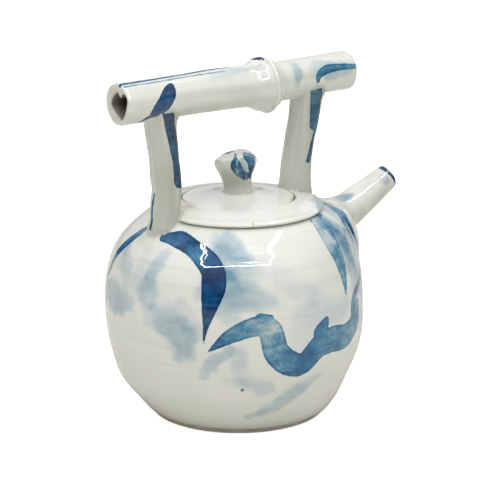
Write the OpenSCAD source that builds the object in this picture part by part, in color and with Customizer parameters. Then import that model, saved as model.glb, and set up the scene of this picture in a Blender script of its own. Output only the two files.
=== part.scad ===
// Porcelain teapot with an overhead bamboo-style handle.
// Origin: centre of the foot on the table. +Z up, +X towards the spout. Millimetres.

/* [Body] */
// Largest outer radius of the body
body_r = 70; // [60:0.5:80]
// Height of the widest point
belly_z = 64; // [56:1:70]
// Height of the crease where the lid collar starts
shoulder_z = 113.5; // [111:0.5:114]
// Wall thickness of the thrown body
wall = 4.5; // [3:0.25:6]
// Radius of the strainer holes behind the spout
strainer_r = 2.2; // [1.5:0.1:2.5]

/* [Foot] */
// Outer radius of the turned foot
foot_r = 47; // [42:0.5:50]
// Height of the turned foot
foot_h = 3.6; // [3:0.1:4.5]

/* [Collar and lid] */
// Outer radius of the collar at the crease
collar_r = 46.4; // [46:0.2:48]
// Radius of the recess that the lid drops into
recess_r = 30.9; // [30:0.1:31.2]
// Depth of the recess
recess_depth = 4.6; // [4:0.2:5.5]
// Radius of the mouth
mouth_r = 26; // [25:0.5:27]
// Gap between the lid and the collar
lid_gap = 0.6; // [0.4:0.1:1]
// Depth of the locating ring under the lid
flange_depth = 9; // [6:0.5:10]

/* [Knob] */
// Height of the knob
knob_h = 21.4; // [18:0.2:22]
// Radius of the flared top of the knob
knob_r = 10.9; // [10:0.1:12]
// Radius of the neck of the knob
knob_neck_r = 7.4; // [6:0.2:8]
// Number of facets cut round the knob
knob_facets = 7; // [5:1:9]

/* [Spout] */
// Angle of the spout above the horizontal
spout_angle = 27.3; // [20:0.1:35]
// Length of the spout from the body axis line
spout_len = 118.6; // [112:0.2:124]
// Outer radius at the tip
spout_tip_r = 6.5; // [6:0.1:8]
// Outer radius near the body
spout_root_r = 10.4; // [9:0.1:12]
// Radius of the pouring hole
outlet_r = 4.6; // [4:0.1:5]
// Length of the straight pouring hole
outlet_len = 16; // [10:1:20]

/* [Handle] */
// Height of the centre line of the bar
bar_z = 180; // [174:0.5:186]
// Length of the bar
bar_len = 151; // [140:1:160]
// Outer radius of the bar at the back end
bar_back_r = 11.2; // [10:0.1:12]
// Outer radius of the bar at the spout end
bar_front_r = 10.5; // [10:0.1:12]
// Position of the bamboo node along the bar
knuckle_x = 15; // [5:1:25]
// How far the bar swells at the node
knuckle_swell = 3; // [1:0.1:4]
// Radius of the posts
post_r = 7.6; // [7:0.1:8.5]
// Distance of the back post from the body axis, at its foot
back_post_x = 47.5; // [46:0.5:49]
// Distance of the spout-side post from the body axis, at its foot
front_post_x = 37.2; // [37:0.1:40]
// Outward lean of the back post
back_lean = 2.2; // [0:0.1:4]
// Outward lean of the spout-side post
front_lean = 8; // [6:0.1:9]

/* [Hidden] */
$fn = 96;
glaze = [0.93, 0.94, 0.93];
glaze_2 = [0.80, 0.86, 0.93];
glaze_3 = [0.88, 0.86, 0.80];
steps = 12;
belly_low = 81;
belly_high = 58.5;
bow_low = 2.2;
bow_high = 2.4;
bar_mid_x = -2;
seat_z = collar_top() - recess_depth;
lid_rest = 0.3;
lid_r = recess_r - lid_gap;
lid_t = 4.2;
lid_dome = 2.6;
lid_z = seat_z + lid_rest;
knob_z = lid_z + lid_t + lid_dome;
spout_start = [105.4 - spout_len * cos(spout_angle), 0, 113.8 - spout_len * sin(spout_angle)];

function collar_top() = shoulder_z + 6.1;
// Outer radius of the body at height z: two superellipse quarters that meet at the belly.
function body_r_at(z, r, low, high) = z < belly_z
    ? r * pow(1 - pow((belly_z - z) / low, bow_low), 1 / bow_low)
    : r * pow(1 - pow((z - belly_z) / high, bow_high), 1 / bow_high);
function ramp(a, b, i, n) = a + (b - a) * i / n;
// Outer radius of the bar at position x: a slow taper with a swelling at the node.
function bar_r_at(x) = ramp(bar_back_r, bar_front_r, x - bar_mid_x + bar_len / 2, bar_len)
    - 0.5 * sin(180 * (x - bar_mid_x + bar_len / 2) / bar_len)
    + knuckle_swell * exp(-pow((x - knuckle_x) / 7, 2));

// Half outline of the outside of the body, from the foot up to the crease.
function body_curve(r, low, high, z0, z1) =
    [for (i = [0:2 * steps]) let (z = ramp(z0, z1, i, 2 * steps)) [body_r_at(z, r, low, high), z]];

module body_outside() {
    rotate_extrude()
        polygon(concat([[0, foot_h]], body_curve(body_r, belly_low, belly_high, foot_h, shoulder_z),
            [[0, shoulder_z]]));
}

module body_inside() {
    rotate_extrude()
        polygon(concat([[0, foot_h + wall]],
            body_curve(body_r - wall, belly_low - wall, belly_high - wall + 2, foot_h + wall, shoulder_z - 4),
            [[40, shoulder_z + 1], [0, shoulder_z + 1]]));
}

// Outline of the collar: rounded outer edge, sloping top, recess and mouth.
module collar_outline() {
    edge = [for (a = [-50:13:80]) [collar_r - 4 + 4 * cos(a), shoulder_z + 2.6 + 2.6 * sin(a)]];
    polygon(concat(
        [[mouth_r, seat_z - 4], [35, seat_z - 4], [38.5, shoulder_z], [collar_r - 2, shoulder_z]],
        edge,
        [[recess_r + 5, collar_top() - 0.5], [recess_r + 1.2, collar_top()], [recess_r, collar_top() - 0.6],
            [recess_r, seat_z], [mouth_r, seat_z]]));
}

module collar_block() {
    rotate_extrude() {
        collar_outline();
        translate([0, shoulder_z - 3]) square([recess_r + 1.2, 9.1]);
    }
}

// Places its children along the spout: x runs outwards from the body axis.
module along_spout(s) {
    translate(spout_start) rotate([0, 90 - spout_angle, 0]) translate([0, 0, s]) children();
}

module spout_outside() {
    root = 68;
    flare = [for (i = [0:8]) let (t = i / 8) [spout_root_r + 5 * pow(1 - t, 2.2), root + 16 * t]];
    rotate_extrude()
        polygon(concat([[0, root]], flare,
            [[ramp(spout_root_r, spout_tip_r, 1, 2), ramp(root + 16, spout_len, 1, 2)],
                [spout_tip_r, spout_len - 1.2], [spout_tip_r - 0.7, spout_len], [0, spout_len]]));
}

module spout_channel() {
    translate([0, 0, 50]) cylinder(h = 40, r1 = 8.6, r2 = 7.6);
    translate([0, 0, 90]) cylinder(h = spout_len - outlet_len - 90, r1 = 7.6, r2 = outlet_r);
    translate([0, 0, spout_len - outlet_len]) cylinder(h = outlet_len + 2, r = outlet_r);
}

// Solid bar outline, running along +X.
module bar_solid() {
    translate([0, 0, bar_z]) rotate([0, 90, 0]) rotate_extrude() {
        x0 = bar_mid_x - bar_len / 2;
        x1 = bar_mid_x + bar_len / 2;
        polygon(concat([[0, x0], [bar_r_at(x0) - 1, x0]],
            [for (i = [0:30]) let (x = ramp(x0 + 1, x1 - 1, i, 30)) [bar_r_at(x), x]],
            [[bar_r_at(x1) - 1, x1], [0, x1]]));
    }
}

// Heart-shaped passage through the bar, notch upwards.
module heart() {
    translate([3.6, 2.6]) circle(r = 3.8);
    translate([-3.6, 2.6]) circle(r = 3.8);
    polygon([[-7.2, 1.4], [-5.6, -2.8], [0.8, -7.6], [5.9, -2.4], [7.2, 1.4], [3.6, 5.2], [0, 3.8], [-3.6, 5.2]]);
}

module post_shape(len) {
    top = 3;
    rotate_extrude()
        polygon([[0, 0], [post_r + 1.6, 0], [post_r + 1.1, 8], [post_r + 0.3, 14], [post_r, 22], [post_r - 0.3, len / 2],
            [post_r, len - 14], [post_r + 0.6, len - 6], [post_r + 1.4, len], [0, len]]);
}

module post_at(x, lean) {
    difference() {
        translate([x, 0, shoulder_z - 10]) rotate([0, lean, 0]) post_shape(bar_z - shoulder_z + 9);
        bar_solid();
        body_outside();
        collar_block();
    }
}

module pot_body() {
    color(glaze) difference() {
        body_outside();
        body_inside();
        along_spout(30) cylinder(h = 60, r = strainer_r, $fn = 32);
        for (a = [0:60:300])
            along_spout(30) rotate([0, 0, a]) translate([5.8, 0, 0]) cylinder(h = 60, r = strainer_r, $fn = 32);
    }
}

module turned_foot() {
    color(glaze_3) rotate_extrude() polygon([
        [0, 0], [foot_r - 0.8, 0], [foot_r, 0.7], [foot_r, 1.2], [foot_r - 0.6, 1.5], [foot_r, 1.8],
        [foot_r, 2.3], [foot_r - 0.6, 2.6], [foot_r + 0.4, foot_h], [0, foot_h]]);
}

module lid_collar() {
    color(glaze_2) rotate_extrude() collar_outline();
}

module spout() {
    color(glaze_2) difference() {
        along_spout(0) spout_outside();
        along_spout(0) spout_channel();
        body_outside();
        collar_block();
    }
}

module back_post() {
    color(glaze) post_at(-back_post_x, -back_lean);
}

module front_post() {
    color(glaze) difference() {
        post_at(front_post_x, front_lean);
        along_spout(0) spout_outside();
    }
}

module handle_bar() {
    color(glaze_2) difference() {
        bar_solid();
        translate([bar_mid_x - bar_len, -0.8, bar_z - 0.4]) rotate([90, 0, 90]) linear_extrude(2 * bar_len) heart();
    }
}

module bamboo_node() {
    x0 = knuckle_x + 1.5;
    lift = [0.1, 0.9, 1.2, 0.9, 0.4, 0.5, 0.9, 0.7, 0.1];
    color(glaze_3) difference() {
        translate([0, 0, bar_z]) rotate([0, 90, 0]) rotate_extrude()
            polygon(concat([[0, x0]], [for (i = [0:8]) [bar_r_at(x0 + i * 0.8) + lift[i], x0 + i * 0.8]],
                [[0, x0 + 6.4]]));
        bar_solid();
    }
}

module twig_bud() {
    color(glaze_2) difference() {
        translate([knuckle_x - 2.5, 0, bar_z + 9]) rotate([0, -20, 0]) rotate_extrude()
            polygon([[0, 0], [5, 0], [4.6, 2.4], [3.6, 4.6], [2.2, 6.2], [0.9, 6.9], [0, 7]]);
        bar_solid();
        bamboo_node();
    }
}

module lid_plate() {
    color(glaze) translate([0, 0, lid_z]) rotate_extrude() polygon([
        [0, 0], [lid_r - 0.5, 0], [lid_r, 0.5], [lid_r, lid_t - 0.9], [lid_r - 1, lid_t],
        [lid_r - 7, lid_t + 0.7], [17, lid_t + 1.5], [13, lid_t + lid_dome - 0.4], [knob_neck_r + 1.6, lid_t + lid_dome],
        [0, lid_t + lid_dome]]);
}

module lid_flange() {
    color(glaze_3) translate([0, 0, lid_z - flange_depth]) rotate_extrude() polygon([
        [21.6, 0.5], [22.1, 0], [24.4, 0], [25.2, 0.8], [25.2, flange_depth], [20.8, flange_depth], [21.6, flange_depth - 3]]);
}

module lid_knob() {
    tilt = 10;
    color(glaze_2) translate([0, 0, knob_z]) difference() {
        rotate_extrude() polygon([
            [0, 0], [knob_neck_r + 1, 0], [knob_neck_r + 0.2, 1], [knob_neck_r - 0.1, 3], [knob_neck_r + 0.1, 6],
            [knob_neck_r + 0.9, 9], [knob_r - 1, 13], [knob_r + 0.2, 16], [knob_r + 0.3, 18.5], [knob_r - 1, knob_h + 1],
            [0, knob_h + 2]]);
        for (i = [0:knob_facets - 1])
            rotate([0, 0, (i + 0.3) * 360 / knob_facets]) translate([knob_neck_r + 0.3, -15, 7]) rotate([0, 13, 0])
                cube([14, 30, 24]);
        translate([-knob_r, -20, knob_h - 4.4]) rotate([0, -tilt, 0]) translate([-10, 0, 0]) cube([60, 60, 12]);
    }
}

pot_body();
turned_foot();
lid_collar();
spout();
back_post();
front_post();
handle_bar();
bamboo_node();
twig_bud();
lid_plate();
lid_flange();
lid_knob();
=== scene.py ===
import math

import bpy
import numpy as np
from mathutils import Matrix, Vector


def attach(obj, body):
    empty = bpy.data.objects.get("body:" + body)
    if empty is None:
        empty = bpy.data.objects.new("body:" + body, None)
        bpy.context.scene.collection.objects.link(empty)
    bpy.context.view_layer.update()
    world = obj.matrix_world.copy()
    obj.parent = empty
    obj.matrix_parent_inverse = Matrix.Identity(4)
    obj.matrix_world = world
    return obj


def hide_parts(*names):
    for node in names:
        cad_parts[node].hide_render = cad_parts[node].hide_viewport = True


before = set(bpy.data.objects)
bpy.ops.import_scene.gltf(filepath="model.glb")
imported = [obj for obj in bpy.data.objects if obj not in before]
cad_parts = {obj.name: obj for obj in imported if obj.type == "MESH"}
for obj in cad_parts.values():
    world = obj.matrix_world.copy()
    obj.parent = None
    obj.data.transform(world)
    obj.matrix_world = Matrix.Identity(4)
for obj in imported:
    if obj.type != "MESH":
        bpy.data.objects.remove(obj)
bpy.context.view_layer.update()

MM = 0.001
FACE_DEG = 233.5            # azimuth of the painted front, counted from +X
MM_PER_DEG = 1.22           # scale of the flat painting chart round the body
BELLY_R, BELLY_Z = 70.0, 64.0
CREASE_Z = 113.5            # where the collar starts
NO_INK = -30.0              # signed distance that keeps a point free of any stroke
LEAN_DEG = 1.97             # how far the belly's lean turns the painting chart
FRONT = np.array([math.cos(math.radians(FACE_DEG)), math.sin(math.radians(FACE_DEG)), 0.0])
RIGHT = np.array([-FRONT[1], FRONT[0], 0.0])


# ---------------------------------------------------------------- helpers
def smooth(t):
    t = np.clip(t, 0.0, 1.0)
    return t * t * (3.0 - 2.0 * t)


def span(a, b, x):
    """0 at a, 1 at b, smooth between."""
    return smooth((np.asarray(x, float) - a) / (b - a))


def bump(x, centre, width):
    return np.exp(-((np.asarray(x, float) - centre) / width) ** 2)


def spline(points, n):
    """Catmull-Rom through rows of numbers, n samples per stretch."""
    p = np.asarray(points, float)
    p = np.vstack([2 * p[0] - p[1], p, 2 * p[-1] - p[-2]])
    out = []
    for i in range(1, len(p) - 2):
        t = np.linspace(0, 1, n, endpoint=False)[:, None]
        a, b, c, d = p[i - 1], p[i], p[i + 1], p[i + 2]
        out.append(0.5 * (2 * b + (c - a) * t + (2 * a - 5 * b + 4 * c - d) * t ** 2
                          + (3 * b - a - 3 * c + d) * t ** 3))
    out.append(p[-2][None])
    return np.vstack(out)


def circle(cols):
    return np.linspace(0, 2 * math.pi, cols, endpoint=False)


def value_noise(x, y, seed):
    """Smooth pseudo-random field in -1..1 over the plane."""
    table = np.random.RandomState(seed).uniform(-1, 1, (64, 64))
    xi, yi = np.floor(x).astype(int), np.floor(y).astype(int)
    fx, fy = smooth(x - xi), smooth(y - yi)
    a = table[xi % 64, yi % 64] * (1 - fx) + table[(xi + 1) % 64, yi % 64] * fx
    b = table[xi % 64, (yi + 1) % 64] * (1 - fx) + table[(xi + 1) % 64, (yi + 1) % 64] * fx
    return a * (1 - fy) + b * fy


def grid_quads(rows, cols, wrap_rows=False):
    """Quads of a rows x cols grid whose columns close round."""
    r = np.arange(rows if wrap_rows else rows - 1)[:, None]
    c = np.arange(cols)[None, :]
    r2, c2 = (r + 1) % rows, (c + 1) % cols
    return np.stack([r * cols + c, r * cols + c2, r2 * cols + c2, r2 * cols + c], -1).reshape(-1, 4)


def end_caps(rows, cols):
    """The first and last loops of a grid, wound so that their fans face outwards."""
    last = (rows - 1) * cols
    return [list(range(cols))[::-1], list(range(last, last + cols))]


def make_piece(name, grid, closed, body, look, node, attrs):
    """Closed mesh from a grid of millimetre points whose columns close round.

    The rows close round too where closed is true; otherwise each end is filled with a fan to its middle.
    """
    slot, material = look
    rows, cols = grid.shape[:2]
    verts = grid.reshape(-1, 3)
    faces = [tuple(quad) for quad in grid_quads(rows, cols, closed).tolist()]
    for loop in [] if closed else end_caps(rows, cols):
        faces += [(loop[i], loop[(i + 1) % cols], len(verts)) for i in range(cols)]
        verts = np.vstack([verts, verts[loop].mean(axis=0)])
    mesh = bpy.data.meshes.new(name)
    mesh.from_pydata((verts * MM).tolist(), [], faces)
    mesh.polygons.foreach_set("use_smooth", [True] * len(mesh.polygons))
    for key, values in attrs.items():
        values = np.asarray(values, float)
        if values.ndim == 1:
            layer = mesh.attributes.new(key, "FLOAT", "POINT")
            full = np.zeros(len(verts))
            full[:len(values)] = values
            layer.data.foreach_set("value", full)
        else:
            layer = mesh.attributes.new(key, "FLOAT_VECTOR", "POINT")
            full = np.zeros((len(verts), 3))
            full[:len(values), :values.shape[1]] = values
            layer.data.foreach_set("vector", full.ravel())
    mesh.materials.append(material)
    mesh.update()
    obj = bpy.data.objects.new(name, mesh)
    bpy.context.scene.collection.objects.link(obj)
    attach(obj, body)
    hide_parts(node)


# ---------------------------------------------------------------- painting
def close_to(line, reach, u, v):
    """Indices of the chart points within reach of a line's bounding box."""
    return np.where((u > line[:, 0].min() - reach) & (u < line[:, 0].max() + reach)
                    & (v > line[:, 1].min() - reach) & (v < line[:, 1].max() + reach))[0]


def paint(u, v, strokes, washes, seed):
    """Brushwork on a flat chart in millimetres.

    A stroke is its depth of colour and rows of (u, v, half width) along the brush's path; a fourth number in
    a row overrides the depth there. A wash is its softness and rows of (u, v, half width, strength).
    Returns the signed distance to the nearest stroke, its depth, its brush coordinates and the wash.
    """
    edge = np.full(len(u), NO_INK)
    depth = np.zeros(len(u))
    brush = np.zeros((len(u), 3))
    for index, (tone, rows) in enumerate(strokes):
        rows = np.array(rows, float)
        if rows.shape[1] == 3:
            rows = np.hstack([rows, np.full((len(rows), 1), tone)])
        line = spline(rows, 14)
        along = np.concatenate([[0], np.cumsum(np.hypot(*np.diff(line[:, :2], axis=0).T))])
        reach = line[:, 2].max() + 6
        near = close_to(line, reach, u, v)
        if not len(near):
            continue
        uu, vv = u[near][:, None], v[near][:, None]
        gap = np.hypot(uu - line[:, 0], vv - line[:, 1]) - np.maximum(line[:, 2], 0.05)
        best = gap.argmin(axis=1)
        inside = -gap[np.arange(len(near)), best]
        head = line[np.minimum(best + 1, len(line) - 1), :2] - line[np.maximum(best - 1, 0), :2]
        head /= np.maximum(np.linalg.norm(head, axis=1), 1e-6)[:, None]
        side = (uu[:, 0] - line[best, 0]) * -head[:, 1] + (vv[:, 0] - line[best, 1]) * head[:, 0]
        better = inside > edge[near]
        pick = near[better]
        edge[pick] = inside[better]
        depth[pick] = line[best, 3][better]
        brush[pick, 0] = along[best][better]
        brush[pick, 1] = side[better]
        brush[pick, 2] = index * 7.3
    # washes: wide soft passes of dilute cobalt whose edges wander
    pale = np.zeros(len(u))
    wu = (u + 2.6 * value_noise(u * 0.11 + 3, v * 0.11 + seed, seed + 2)
          + 1.0 * value_noise(u * 0.36, v * 0.36 + 5, seed + 3))
    wv = (v + 2.6 * value_noise(u * 0.11 + 17, v * 0.11, seed + 4)
          + 1.0 * value_noise(u * 0.36 + 8, v * 0.36, seed + 5))
    for softness, rows in washes:
        line = spline(rows, 8)
        reach = line[:, 2].max() * 1.3 + 5
        near = close_to(line, reach, u, v)
        if not len(near):
            continue
        gap = np.hypot(wu[near][:, None] - line[:, 0], wv[near][:, None] - line[:, 1])
        gap = gap / np.maximum(line[:, 2], 0.3)
        fall = smooth((1.0 + softness * 0.5 - gap) / softness) * np.clip(line[:, 3], 0, 1)
        pale[near] = 1 - (1 - pale[near]) * (1 - fall.max(axis=1))
    return {"ink_edge": edge, "ink_depth": depth, "brush": brush, "wash": pale}


def leave_bare(attrs, mask):
    attrs["ink_edge"][mask] = NO_INK
    attrs["wash"][mask] = 0


def overlay(attrs, over):
    """Lay one painting over another, in place: the nearer stroke and the stronger wash win."""
    better = over["ink_edge"] > attrs["ink_edge"]
    for key in ("ink_edge", "ink_depth", "brush"):
        attrs[key][better] = over[key][better]
    attrs["wash"] = np.maximum(attrs["wash"], over["wash"])


# ---------------------------------------------------------------- materials
def new_material(name):
    mat = bpy.data.materials.new(name)
    mat.use_nodes = True
    nodes = mat.node_tree.nodes
    links = mat.node_tree.links
    nodes.clear()
    out = nodes.new("ShaderNodeOutputMaterial")
    shader = nodes.new("ShaderNodeBsdfPrincipled")
    links.new(shader.outputs[0], out.inputs[0])
    return mat, nodes, links, shader


class Tree:
    """Short calls for building a node tree."""

    def __init__(self, nodes, links):
        self.nodes, self.links = nodes, links

    def plug(self, value, socket):
        if isinstance(value, (int, float)):
            socket.default_value = value
        elif isinstance(value, tuple):
            socket.default_value = value if len(value) == len(socket.default_value) else (*value, 1)
        else:
            self.links.new(value, socket)

    def math(self, op, a, b, clamp=False):
        n = self.nodes.new("ShaderNodeMath")
        n.operation = op
        n.use_clamp = clamp
        self.plug(a, n.inputs[0])
        self.plug(b, n.inputs[1])
        return n.outputs[0]

    def times(self, a, b, clamp=False):
        return self.math("MULTIPLY", a, b, clamp=clamp)

    def plus(self, a, b, clamp=False):
        return self.math("ADD", a, b, clamp=clamp)

    def less(self, a, b, clamp=False):
        return self.math("SUBTRACT", a, b, clamp=clamp)

    def swing(self, noise, gain):
        """A noise turned into a change of either sign."""
        return self.times(self.less(noise, 0.5), gain)

    def ramp(self, a, lo, hi, out_lo=0.0, out_hi=1.0, soft=True):
        n = self.nodes.new("ShaderNodeMapRange")
        n.interpolation_type = "SMOOTHSTEP" if soft else "LINEAR"
        self.plug(a, n.inputs[0])
        for i, x in enumerate((lo, hi, out_lo, out_hi), 1):
            self.plug(x, n.inputs[i])
        return n.outputs[0]

    def noise(self, vector, scale, detail=2.0, rough=0.5, distort=0.0):
        n = self.nodes.new("ShaderNodeTexNoise")
        self.plug(vector, n.inputs["Vector"])
        self.plug(scale, n.inputs["Scale"])
        self.plug(detail, n.inputs["Detail"])
        self.plug(rough, n.inputs["Roughness"])
        self.plug(distort, n.inputs["Distortion"])
        return n.outputs["Fac"]

    def stretch(self, vector, scale):
        n = self.nodes.new("ShaderNodeMapping")
        self.plug(vector, n.inputs["Vector"])
        n.inputs["Scale"].default_value = scale
        return n.outputs[0]

    def attribute(self, name, vector=False):
        n = self.nodes.new("ShaderNodeAttribute")
        n.attribute_name = name
        return n.outputs["Vector" if vector else "Fac"]

    def mix(self, fac, a, b):
        n = self.nodes.new("ShaderNodeMix")
        n.data_type = "RGBA"
        self.plug(fac, n.inputs[0])
        self.plug(a, n.inputs[6])
        self.plug(b, n.inputs[7])
        return n.outputs[2]

    def relief(self, height, strength, distance, shader):
        n = self.nodes.new("ShaderNodeBump")
        n.inputs["Strength"].default_value = strength
        n.inputs["Distance"].default_value = distance
        self.links.new(height, n.inputs["Height"])
        self.links.new(n.outputs[0], shader.inputs["Normal"])

    def colours(self, fac, stops):
        n = self.nodes.new("ShaderNodeValToRGB")
        ramp = n.color_ramp
        while len(ramp.elements) < len(stops):
            ramp.elements.new(0.5)
        for element, (at, colour) in zip(ramp.elements, stops):
            element.position = at
            element.color = (*colour, 1)
        self.plug(fac, n.inputs[0])
        return n.outputs[0]


COBALT = [   # tint of the white clay under ever more cobalt
    (0.0, (1.0, 1.0, 1.0)), (0.14, (0.74, 0.825, 0.905)), (0.30, (0.47, 0.61, 0.73)), (0.46, (0.22, 0.42, 0.60)),
    (0.60, (0.060, 0.275, 0.49)), (0.74, (0.008, 0.165, 0.39)), (0.88, (0.0, 0.082, 0.26)), (1.0, (0.0, 0.034, 0.135)),
]


def glazed_porcelain(name, thrown):
    """Clear glossy glaze over white clay, with cobalt brushwork from the piece's own attributes."""
    mat, nodes, links, shader = new_material(name)
    t = Tree(nodes, links)
    place = nodes.new("ShaderNodeTexCoord").outputs["Object"]
    edge, depth, wash, pool_and_shade, stain_and_shade = (t.attribute(key) for key in ("ink_edge", "ink_depth", "wash", "pool_and_shade", "stain_and_shade"))
    brush = t.attribute("brush", vector=True)
    # white glaze: faint warm and cool drifts
    drift = t.noise(place, 24, 3, 0.55)
    fine = t.noise(place, 160, 4, 0.6)
    white = t.mix(t.ramp(drift, 0.35, 0.65), (0.785, 0.80, 0.755), (0.825, 0.825, 0.79))
    white = t.mix(t.ramp(fine, 0.62, 0.80), white, (0.74, 0.755, 0.70))
    # glaze gathers grey-green in the joints, and the same grey-green paints shade in creases, gaps, undersides and on
    # the shaded sides of parts
    white = t.mix(t.ramp(pool_and_shade, 0.0, 1.0, 0.0, 0.85, soft=False), white, (0.345, 0.375, 0.285))
    # tea stains the open edges; the same brown also paints shade in the gap round the lid and inside the bar's passage
    stain_noise = t.ramp(t.noise(place, 260, 3, 0.65), 0.30, 0.70)
    white = t.mix(t.times(stain_and_shade, t.plus(0.45, stain_noise), clamp=True), white, (0.34, 0.22, 0.10))
    # painted shade: near-black olive deep in the bores of the bar and the spout
    white = t.mix(t.attribute("deep"), white, (0.095, 0.085, 0.045))
    # wheel lines: the throwing rings hold a trace of warm grey
    lathe_line = t.noise(t.stretch(place, (6, 6, 420)), 1.0, 3, 0.6)
    white = t.mix(t.ramp(lathe_line, 0.52, 0.75, 0.0, 0.42 if thrown else 0.0), white, (0.70, 0.685, 0.61))
    # brushwork: ragged edge, bristle streaks, granular cobalt
    ragged_edge = t.plus(edge, t.swing(t.noise(place, 420, 3, 0.6), 0.9))
    inside = t.ramp(ragged_edge, -0.22, 0.30)
    bristles = t.noise(t.stretch(brush, (0.10, 1.35, 1.0)), 1.0, 3, 0.6)
    clouds = t.noise(place, 95, 4, 0.65, 0.5)
    grains = t.noise(place, 900, 2, 0.6)
    wiped = t.noise(t.stretch(place, (38, 38, 150)), 1.0, 4, 0.6, 0.4)
    change = t.plus(t.swing(bristles, 0.30), t.swing(clouds, 0.85))
    change = t.plus(change, t.swing(grains, 0.20))
    change = t.plus(change, t.swing(wiped, 0.85))
    rim = t.ramp(ragged_edge, 0.2, 1.6, 0.14, 0.0)
    # where the brush ran dry the bristles leave gaps
    hairs = t.noise(t.stretch(place, (620, 620, 190)), 1.0, 3, 0.6, 0.6)
    gaps = t.times(t.attribute("dry"), t.ramp(hairs, 0.50, 0.64))
    inside = t.times(inside, t.less(1.0, gaps))
    ink = t.times(inside, t.plus(t.plus(depth, rim), change, clamp=True))
    wash_grain = t.plus(t.swing(clouds, 1.0), t.swing(wiped, 1.3))
    pale = t.times(wash, t.plus(1.0, wash_grain), clamp=True)
    both = t.less(1.0, t.times(t.less(1.0, ink), t.less(1.0, pale)), clamp=True)
    cobalt = t.colours(both, COBALT)
    painted = nodes.new("ShaderNodeMix")
    painted.data_type = "RGBA"
    painted.blend_type = "MULTIPLY"
    painted.inputs[0].default_value = 1.0
    links.new(white, painted.inputs[6])
    links.new(cobalt, painted.inputs[7])
    colour = painted.outputs[2]
    # rare iron specks
    cells = nodes.new("ShaderNodeTexVoronoi")
    cells.inputs["Scale"].default_value = 62
    links.new(place, cells.inputs["Vector"])
    speck = t.ramp(cells.outputs["Distance"], 0.030, 0.055, 1.0, 0.0)
    lucky = nodes.new("ShaderNodeSeparateColor")
    links.new(cells.outputs["Color"], lucky.inputs[0])
    speck = t.times(speck, t.ramp(lucky.outputs[0], 0.93, 0.94))
    speck = t.math("MAXIMUM", t.times(speck, 0.6), t.ramp(t.attribute("speck"), 0.3, 0.8))
    colour = t.mix(speck, colour, (0.12, 0.055, 0.025))
    links.new(colour, shader.inputs["Base Color"])
    shader.inputs["Specular IOR Level"].default_value = 0.5
    shader.inputs["IOR"].default_value = 1.5
    gloss = t.ramp(fine, 0.3, 0.8, 0.02, 0.045)
    links.new(gloss, shader.inputs["Roughness"])
    shader.inputs["Coat Weight"].default_value = 0.35
    shader.inputs["Coat Roughness"].default_value = 0.03
    # surface: soft orange peel and fine throwing marks
    peel = t.noise(place, 210, 2, 0.5)
    split = nodes.new("ShaderNodeSeparateXYZ")
    links.new(place, split.inputs[0])
    x, y, z = split.outputs[:3]
    from_axis = t.math("POWER", t.plus(t.times(x, x), t.times(y, y)), 0.5)
    wheel = nodes.new("ShaderNodeCombineXYZ")
    links.new(t.times(from_axis, 420 if thrown else 120), wheel.inputs[0])
    links.new(t.times(z, 330 if thrown else 120), wheel.inputs[2])
    rings = t.noise(wheel.outputs[0], 1.0, 2, 0.5)
    height = t.plus(t.times(peel, 0.5), t.times(rings, 0.5))
    t.relief(height, 0.16, 0.00022, shader)
    return mat


def bare_porcelain(name):
    """Unglazed fired clay: warm white, matt, fine grain with turning marks."""
    mat, nodes, links, shader = new_material(name)
    t = Tree(nodes, links)
    place = nodes.new("ShaderNodeTexCoord").outputs["Object"]
    grain = t.noise(place, 1500, 4, 0.65)
    cloud = t.noise(place, 90, 3, 0.5)
    colour = t.mix(t.ramp(cloud, 0.3, 0.7), (0.62, 0.60, 0.52), (0.72, 0.70, 0.62))
    colour = t.mix(t.ramp(grain, 0.60, 0.75), colour, (0.42, 0.38, 0.30))
    links.new(colour, shader.inputs["Base Color"])
    links.new(t.ramp(grain, 0.3, 0.7, 0.50, 0.72), shader.inputs["Roughness"])
    rings = t.noise(t.stretch(place, (20, 20, 900)), 1.0, 2, 0.5)
    height = t.plus(t.times(grain, 0.5), rings)
    t.relief(height, 0.4, 0.0002, shader)
    return mat


# each look pairs a name with its material
THROWN = ("glazed_porcelain", glazed_porcelain("glazed_porcelain_thrown", True))
BUILT = ("glazed_porcelain", glazed_porcelain("glazed_porcelain_built", False))
CLAY = ("bare_porcelain", bare_porcelain("bare_porcelain_turned"))


# ---------------------------------------------------------------- body
def body_profile(z, inset=0.0):
    """Outer radius of the thrown body at height z."""
    r = BELLY_R - inset
    low = np.clip((BELLY_Z - z) / (81.0 - inset), 0, 0.9999)
    high = np.clip((z - BELLY_Z) / (58.5 - inset + (2.0 if inset else 0.0)), 0, 0.9999)
    return np.where(z < BELLY_Z, r * (1 - low ** 2.2) ** (1 / 2.2), r * (1 - high ** 2.4) ** (1 / 2.4))


def lean_fade(z):
    """The lean is full on the belly and nothing at the foot and the collar."""
    return span(4, 26, z) * (1 - span(92, 112, z))


def body_shift(z):
    """The belly sits a little to one side of the collar."""
    fade = lean_fade(z)
    return np.stack([-1.9 * fade, 1.2 * fade, 0 * fade], -1)


def wobble(az, z):
    """Hand-made unevenness of the radius, in millimetres."""
    slow = 0.35 * np.cos(2 * az + 0.6) * bump(z, 60, 40) + 0.25 * np.cos(3 * az - z * 0.03)
    turned = (np.degrees(az) - FACE_DEG + 180) % 360 - 180
    slow = slow + 1.5 * bump(turned, 92, 42) * bump(z, 41, 17) + 0.8 * bump(turned, -84, 30) * bump(z, 20, 10)
    rings = 0.035 * np.sin(z * 1.15 + az) * bump(z, 62, 45) + 0.015 * np.sin(z * 2.7 - az)
    return slow * span(6, 20, z) * (1 - span(100, 112, z)) + rings * span(8, 16, z) * (1 - span(104, 112, z))


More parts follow.
